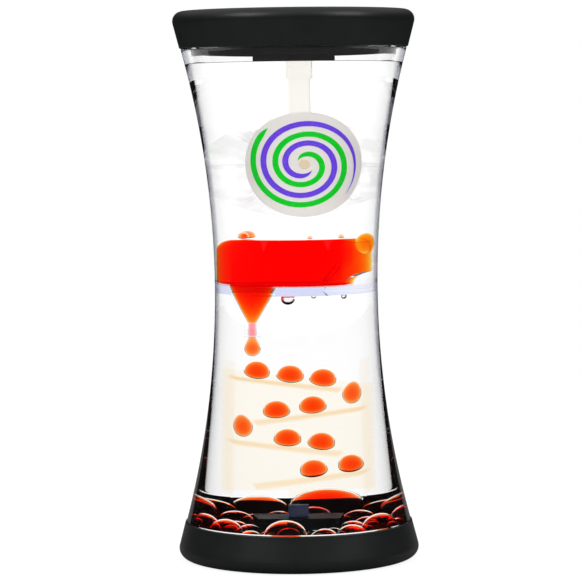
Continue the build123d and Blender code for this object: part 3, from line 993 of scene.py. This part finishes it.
    def hanging_drop(self) -> Surface:
        """Drop under the nozzle: a narrow neck that swells to a belly, by a smooth step of the depth.

        Returns:
            The drop's skin.
        """
        tip = self.funnels.tip
        share = np.linspace(0, 1, self.hang_steps)
        neck = self.funnels.bore - self.film
        swell = np.clip(share / self.swollen_at, 0, 1)
        swell = swell * swell * (3 - 2 * swell)
        below = np.clip((share - self.rounded_from) / (1 - self.rounded_from), 0, 1)
        radius = (neck + (self.belly - neck) * swell) * np.sqrt(1 - below**2)
        profile = np.stack([radius, tip - share * self.hang], axis=1)
        profile = np.concatenate([[(0, tip)], profile])
        return Surface.turned(profile, TUBE_STEPS, self.funnels.drip_place)

    def pebble(self, solid: Solid, flat: float, tilt: np.ndarray) -> Surface:
        """Drop in a solid's box: a ball with a flatter underside, or with a drawn-out top if it is tall.

        Each point of a unit ball goes along the solid's axes by its half lengths. The heights below the
        middle shrink by the flat share, all heights are stretched to fill the box again, and the girth
        below the middle is kept fuller. On a tall drop, the girth above the middle narrows to a point.

        Args:
            solid: The solid that the drop stands for.
            flat: Share of the lower half that is pressed away.
            tilt: Small turns about X, Y and Z in radians.

        Returns:
            The drop's skin.
        """
        up = np.linspace(-np.pi / 2, np.pi / 2, DROP_STEPS[0])[:, None]
        around = np.linspace(0, 2 * np.pi, DROP_STEPS[1], endpoint=False)[None, :]
        girth = np.cos(up) * np.where(up < 0, 1 + self.fullness * np.sin(2 * np.abs(up)), 1.0)
        height = np.sin(up)
        if solid.halves[2] > solid.halves[0]:
            girth = girth * (1 - self.point * np.maximum(height, 0))
        else:
            pressed = np.where(height < 0, height * (1 - flat), height)
            height = (pressed + 1 - flat) * 2 / (2 - flat) - 1
        ball = np.stack([girth * np.cos(around), girth * np.sin(around), height + 0 * around], axis=-1)
        x, y, z = tilt
        turn = Matrix.Rotation(x, 3, "X") @ Matrix.Rotation(y, 3, "Y") @ Matrix.Rotation(z, 3, "Z")
        local = (ball * solid.halves) @ np.array(turn).T
        return Surface.from_grid(local @ solid.axes + solid.middle, False)

    def loose_drops(self, name: str, node: str, flat: float, unrest: float = 0.0) -> None:
        """Make a node's drops as one piece.

        Args:
            name: The piece's name.
            node: The node of the frame that holds the drops.
            flat: Share of a drop's lower half that is pressed away.
            unrest: Largest tilt in radians.
        """
        draw = np.random.default_rng(self.seed)
        solids = solids_of(self.nodes[node])
        skins = [self.pebble(solid, flat, draw.uniform(-unrest, unrest, 3)) for solid in solids]
        Surface.merged(skins).build(name, (RED_DROP,), "red_liquid", node, crease=ALL_SMOOTH)

    def build(self) -> None:
        """Make the pool, the hanging drop and the loose drops."""
        skins = (self.pool(), self.bulge(), self.funnel_fill(), self.nozzle_fill())
        Surface.merged(skins).build("red_pool_liquid", POOL_FINISHES, "red_liquid", "red_pool")
        self.hanging_drop().build("hanging_red_drop", (RED_DROP,), "red_liquid", "pendant_drop")
        self.loose_drops("running_red_drops", "ramp_drops", self.flat_on_ramps)
        self.loose_drops("settled_red_drops", "floor_drops", self.flat_on_floor, self.floor_tilt)
        self.loose_drops("red_beads", "pool_beads", self.flat_beads)


@dataclass
class ZigzagUnit:
    """Tray, sloping ramps and clear cover, each a hair clear of its neighbours."""

    ramp_count: int = 4
    ramp_thickness: float = 0.8
    wall: float = 1.0
    back: float = 1.5
    floor: float = 16.8
    foot_width: float = 3.6
    lip: float = 1.6
    gap: float = 0.02

    def back_plate(self) -> Surface:
        """Plate behind the ramps, whose top edge runs along the first ramp, with the foot under it.

        Returns:
            The skins of both.
        """
        low, high = box_of("zigzag_tray", self.gap)
        ramp_low, ramp_high = box_of("zigzag_ramp_1", 0.0)
        front = high[1] + self.gap - self.back
        base = self.floor + self.gap
        half = self.foot_width / 2
        slope = (ramp_high[2] - ramp_low[2] - self.ramp_thickness) / (ramp_high[0] - ramp_low[0])
        left = ramp_high[2] + self.lip
        right = left - slope * (high[0] - low[0])
        section = np.array([(low[0], left), (high[0], right), (high[0], base), (low[0], base)])
        foot = Surface.block((-half, front, low[2]), (half, high[1], base - self.gap))
        return Surface.merged((Surface.slab(section, front, high[1]), foot))

    def side_walls(self) -> Surface:
        """Upright blocks at the left and right ends of the ramps.

        Returns:
            The skins of both.
        """
        low, high = box_of("zigzag_tray", self.gap)
        back = high[1] - self.back
        base = self.floor + self.gap
        wall = self.wall - self.gap
        left = Surface.block((low[0], low[1], base), (low[0] + wall, back, high[2]))
        right = Surface.block((high[0] - wall, low[1], base), (high[0], back, high[2]))
        return Surface.merged((left, right))

    def ramp(self, number: int) -> Surface:
        """Sloping slat in its node's box, high at the left for odd numbers and at the right for even ones.

        Args:
            number: The ramp's number, counted from 1.

        Returns:
            The slat's skin.
        """
        low, high = box_of(f"zigzag_ramp_{number}", self.gap)
        fall = high[2] - low[2] - self.ramp_thickness
        return Surface.block(low, high, fall if number % 2 else -fall)

    def build(self) -> None:
        """Make the tray's plate and walls, the ramps and the cover."""
        self.back_plate().build("zigzag_tray_plate", (CREAM_PLATE,), "cream_plastic", "zigzag_tray")
        self.side_walls().build("zigzag_tray_walls", (CREAM_WALL,), "cream_plastic")
        for number in range(1, self.ramp_count + 1):
            node = f"zigzag_ramp_{number}"
            self.ramp(number).build(f"{node}_slat", (CREAM_RAMP,), "cream_plastic", node)
        cover = Surface.block(*box_of("zigzag_cover", self.gap))
        cover.build("zigzag_front_cover", (CLEAR_COVER,), "clear_cover", "zigzag_cover")


@dataclass(frozen=True)
class SpiralArm:
    """One arm's names, ink and run: it starts at an angle in degrees, from the right and upwards."""

    name: str
    node: str
    ink: PrintedInk
    start: float
    turns: float
    inner_radius: float
    outer_radius: float
    end_taper: float


@dataclass
class SpiralPrint:
    """Green arm with a round end and violet arm with a long point, printed on the spinner's front disc."""

    middle: Place = (1.0, 0.0, 103.75)
    turn: float = math.radians(5.0)
    disc_radius: float = 13.65
    lift: float = 0.005
    thickness: float = 0.1
    half_width: float = 0.68
    least_width: float = 0.03
    start_taper: float = 0.12
    steps: int = 260
    arms: tuple[SpiralArm, ...] = (
        SpiralArm("green_spiral_print", "front_green_spiral", GREEN_INK, 145.0, 2.04, 1.75, 12.5, 0.02),
        SpiralArm("violet_spiral_print", "front_violet_spiral", VIOLET_INK, -45.0, 1.985, 2.3, 12.4, 0.2),
    )

    def disc_face(self) -> float:
        """How far the disc's face lies in front of the axle's middle, from the turned disc's box."""
        low, _ = box_of("front_disc", 0.0)
        return (-low[1] - self.disc_radius * math.sin(self.turn)) / math.cos(self.turn)

    def skin(self, arm: SpiralArm) -> Surface:
        """One arm: an even spiral, clockwise outwards, whose width swells and shrinks by a sine.

        The section is a thin rectangle across the arm. Each station lies at a radius that grows evenly
        with the angle, and the whole is turned with the hanger about the upright axis.

        Args:
            arm: The arm's run.

        Returns:
            The arm's skin.
        """
        share = np.linspace(0, 1, self.steps)[:, None]
        angle = np.radians(arm.start - 360 * arm.turns * share)
        swell = np.minimum(1, np.minimum(share / self.start_taper, (1 - share) / arm.end_taper))
        width = self.least_width + (1 - self.least_width) * np.sin(np.pi / 2 * swell)
        middle = arm.inner_radius + (arm.outer_radius - arm.inner_radius) * share
        radius = middle + self.half_width * width * np.array([-1, 1, 1, -1])
        back = -self.disc_face() - np.array([self.lift, self.lift, self.thickness, self.thickness])
        right, up = radius * np.cos(angle), radius * np.sin(angle)
        x = self.middle[0] + right * math.cos(self.turn) - back * math.sin(self.turn)
        y = self.middle[1] + right * math.sin(self.turn) + back * math.cos(self.turn)
        return Surface.carried(np.stack([x, y, self.middle[2] + up], axis=-1))

    def build(self) -> None:
        """Print the arms, each in its own ink."""
        for arm in self.arms:
            self.skin(arm).build(arm.name, (arm.ink,), arm.ink.name, arm.node, body=Body.SPINNER)


@dataclass
class OilFill:
    """Clear oil above and below the partition, a hair clear of the wall, with air over the upper one."""

    shell: Shell
    gap: float = 0.1
    steps: int = 60

    def build(self) -> None:
        """Turn the wall's inner arc between the heights of each body of oil."""
        for node, top in (("lower_oil", CLEAR_OIL), ("upper_oil", OIL_LEVEL)):
            low, high = box_of(node, self.gap)
            height = np.linspace(low[2], min(high[2], self.shell.level), self.steps)
            wall = np.stack([self.shell.inside(height) - self.gap, height], axis=1)
            profile = np.concatenate([[(0, height[0])], wall, [(0, height[-1])]])
            marks = np.zeros(len(profile) - 1, int)
            marks[-1] = 1
            skin = Surface.turned(profile, ROUND_STEPS // 2, marks=marks)
            skin.build(f"{node}_fill", (CLEAR_OIL, top), "clear_oil", node)


@dataclass
class FootCollar:
    """Slate-coloured collar round the tray's foot, on the bottom block."""

    low: Place = (-1.95, -1.75, 9.62)
    high: Place = (1.95, 0.25, 12.9)
    soft_edge: float = 0.2

    def build(self) -> None:
        """Make the collar as a block with softened edges."""
        collar = Surface.block(self.low, self.high)
        collar.build("tray_foot_collar", (FOOT_COLLAR,), "black_plug", soft_edge=self.soft_edge)


@dataclass
class NozzleShadeLines:
    """Thin grey rings of painted shade, a hair off the open ends of the two nozzles, that paint a dark line
    at each end.
    """

    funnels: Funnels
    gap: float = 0.02
    half_thickness: float = 0.06

    def build(self) -> None:
        """Turn a flat ring about each nozzle's axis."""
        bore = self.funnels.bore + self.gap
        outside = self.funnels.bore + self.funnels.wall
        off = self.gap + self.half_thickness
        drip_end = (self.funnels.drip_place, self.funnels.tip - off)
        return_end = (self.funnels.return_place, self.funnels.return_tip + off)
        rings = []
        for place, level in (drip_end, return_end):
            low, high = level - self.half_thickness, level + self.half_thickness
            section = np.array([(bore, low), (outside, low), (outside, high), (bore, high)])
            rings.append(Surface.turned(section, DROP_STEPS[1], place, closed=True))
        Surface.merged(rings).build("nozzle_shade_lines", (NOZZLE_SHADE_LINE,), "clear_partition")


@dataclass
class Bubbles:
    """Air bubbles that cling under the partition, each with its place and radius."""

    funnels: Funnels
    bubbles: tuple[tuple[Point, float], ...] = (
        ((-1.9, -12.0), 1.6),
        ((3.9, -12.0), 0.6),
        ((11.1, -12.0), 0.75),
    )
    height_share: float = 0.78
    gap: float = 0.02

    def build(self) -> None:
        """Each bubble is a ball cut flat where it meets the partition: heights above are drawn level."""
        up = np.linspace(-np.pi / 2, np.pi / 2, DROP_STEPS[0])
        skins = []
        for place, radius in self.bubbles:
            cut = radius * (2 * self.height_share - 1)
            level = self.funnels.underside - self.gap - cut
            height = level + np.minimum(radius * np.sin(up), cut)
            profile = np.stack([radius * np.cos(up), height], axis=1)
            skins.append(Surface.turned(profile, DROP_STEPS[1], place))
        Surface.merged(skins).build("air_bubbles", (AIR_BUBBLE,), "clear_oil")


@dataclass
class InnerPieces:
    """Rigid pieces that keep their meshes from the frame and get a finish."""

    nodes: dict[str, bpy.types.Object]

    def build(self) -> None:
        """Give each node its finish."""
        chosen: dict[Finish, tuple[str, ...]] = {
            BLACK_PLUG: ("bottom_plug", "top_plug"),
            SEAL_RUBBER: ("bottom_seal_ring", "top_seal_ring", "fill_stopper"),
            CLEAR_PARTITION: ("partition",),
            NATURAL_PLASTIC: ("spinner_hanger",),
            TAN_PLASTIC: ("spinner_axle",),
            MILKY_DISC: ("front_disc",),
            CLEAR_WHEEL: ("back_disc", "front_paddle", "back_paddle"),
        }
        for finish, names in chosen.items():
            for name in names:
                materials = self.nodes[name].data.materials
                materials.clear()
                materials.append(finish.material())
                LOG.info("%s in %s", name, finish.name)


@dataclass
class PhotoCamera:
    """Camera at the photograph's place, turn and field of view."""

    place: Place = (-0.27, -720.0, 120.87)
    pitch: float = 0.0704
    yaw: float = -0.0019
    roll: float = -0.0114
    focal_pixels: float = 2755.9
    frame_pixels: float = 580.0
    sensor: float = 36.0
    clip_end: float = 50.0

    def build(self) -> None:
        """Turn the view by yaw, pitch and roll: the columns are right, up and backwards."""
        cosine = math.cos(self.pitch)
        forward = Vector((math.sin(self.yaw) * cosine, math.cos(self.yaw) * cosine, -math.sin(self.pitch)))
        right = forward.cross(Vector((0, 0, 1))).normalized()
        up = right.cross(forward)
        leaning_right = math.cos(self.roll) * right + math.sin(self.roll) * up
        leaning_up = math.cos(self.roll) * up - math.sin(self.roll) * right
        turn = Matrix((leaning_right, leaning_up, -forward)).transposed().to_4x4()
        lens = bpy.data.cameras.new("photo_camera")
        lens.sensor_width = self.sensor
        lens.lens = self.sensor * self.focal_pixels / self.frame_pixels
        lens.clip_end = self.clip_end
        camera = add_object("photo_camera", lens)
        camera.matrix_world = Matrix.Translation(Vector(self.place) * MM) @ turn
        bpy.context.scene.camera = camera


@dataclass(frozen=True)
class Softbox:
    """One square soft lamp, with its place and side in metres."""

    name: str
    place: Place
    side: float
    power: float

    def build(self, target: Vector) -> None:
        """Hang the lamp at its place and aim it at a point.

        Args:
            target: The point in metres.
        """
        lamp = bpy.data.lights.new(self.name, "AREA")
        lamp.shape = "SQUARE"
        lamp.size = self.side
        lamp.energy = self.power
        aim = (target - Vector(self.place)).to_track_quat("-Z", "Y")
        made = add_object(self.name, lamp)
        made.matrix_world = Matrix.Translation(self.place) @ aim.to_matrix().to_4x4()


@dataclass
class Studio:
    """Pale floor, white surround and soft lamps, in metres."""

    floor_half: float = 0.45
    floor_level: float = -0.0001
    floor_grey: Colour = (0.12, 0.12, 0.12)
    floor_glow: float = 0.88
    ambient: float = 0.6
    inner_light: float = 1.5
    clear_light: float = 1.15
    mirrored_least: float = 0.02
    mirrored_rise: float = 0.6
    rise_start: float = 0.15
    rise_end: float = 0.9
    front_start: float = 0.2
    front_end: float = 0.7
    target: Place = (0.0, 0.0, 0.07)
    lamps: tuple[Softbox, ...] = (
        Softbox("left_softbox", (-0.50, -0.45, 0.60), 0.40, 1.6),
        Softbox("right_softbox", (0.55, -0.35, 0.55), 0.40, 1.3),
    )

    def floor(self) -> None:
        """Flat floor that glows where it is seen, so that it reads white round the object's shadow."""
        half, level = self.floor_half, self.floor_level
        corners = [(-half, -half, level), (half, -half, level), (half, half, level), (-half, half, level)]
        mesh = bpy.data.meshes.new("studio_floor")
        mesh.from_pydata(corners, [], [(0, 1, 2, 3)])
        material = bpy.data.materials.new("studio_white")
        material.use_nodes = True
        tree = ShaderTree(material.node_tree)
        path = tree.node("ShaderNodeLightPath", output="Is Camera Ray")
        straight = 1 - path.other("Glossy Depth").smaller(1.0)
        seen = path.larger(path.other("Is Transmission Ray") * straight)
        lit = tree.node("ShaderNodeBsdfDiffuse", None, {"Color": (*self.floor_grey, 1)})
        strength = seen * self.floor_glow
        glow = tree.node("ShaderNodeEmission", None, {"Color": (1, 1, 1, 1), "Strength": strength})
        tree.end(tree.node("ShaderNodeAddShader", None, {0: lit, 1: glow}))
        mesh.materials.append(material)
        add_object("studio_floor", mesh)

    def surround(self) -> None:
        """White where it is seen, straight or through the clear pieces, and softer as a light."""
        world = bpy.data.worlds.new("light_tent")
        bpy.context.scene.world = world
        world.use_nodes = True
        tree = ShaderTree(world.node_tree)
        path = tree.node("ShaderNodeLightPath", output="Is Camera Ray")
        through = path.larger(path.other("Is Transmission Ray"))
        mirrored = path.other("Is Glossy Ray")
        lit = path.other("Diffuse Depth").smaller(1.0)
        way = tree.node("ShaderNodeTexCoord", output="Generated")
        upward = tree.node("ShaderNodeSeparateXYZ", None, {0: way}, "Z")
        rise = tree.ramp(upward, self.rise_start, self.rise_end)
        shade = self.mirrored_least + self.mirrored_rise * rise
        tent = mirrored * shade + (1 - mirrored) * self.ambient
        forward = tree.ramp(0 - upward.other("Y"), self.front_start, self.front_end)
        thrown_back = path.other("Glossy Depth").smaller(1.0) * forward
        clear = self.clear_light * (1 - thrown_back) + shade * thrown_back
        seen = path + (through - path) * clear + (1 - through) * tent
        strength = lit * self.inner_light + (1 - lit) * seen
        glow = tree.node("ShaderNodeBackground", None, {"Color": (1, 1, 1, 1), "Strength": strength})
        tree.node("ShaderNodeOutputWorld", None, {"Surface": glow})

    def build(self) -> None:
        """Lay the floor, set the surround and hang the lamps."""
        self.floor()
        self.surround()
        for lamp in self.lamps:
            lamp.build(Vector(self.target))


def set_light_paths() -> None:
    """Let light pass the many clear faces, and keep plain colours."""
    scene = bpy.context.scene
    scene.view_settings.view_transform = "Standard"
    scene.cycles.max_bounces = CLEAR_BOUNCES
    scene.cycles.transmission_bounces = CLEAR_BOUNCES
    scene.cycles.transparent_max_bounces = CLEAR_BOUNCES
    scene.cycles.diffuse_bounces = 3
    scene.cycles.glossy_bounces = 8


def main() -> None:
    """Build the timer's pieces in order, then the camera and the studio."""
    logging.basicConfig(level=logging.INFO)
    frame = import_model()
    nodes = frame["nodes"]
    shell = Shell()
    funnels = Funnels()
    shell.build()
    EndCap(shell, "bottom_cap_cover", "bottom_cap", False).build()
    EndCap(shell, "top_cap_cover", "top_cap", True).build()
    InnerPieces(nodes).build()
    SpiralPrint().build()
    ZigzagUnit().build()
    OilFill(shell).build()
    FootCollar().build()
    RedLiquid(nodes, funnels).build()
    NozzleShadeLines(funnels).build()
    Bubbles(funnels).build()
    PhotoCamera().build()
    Studio().build()
    set_light_paths()


if __name__ == "__main__":
    main()
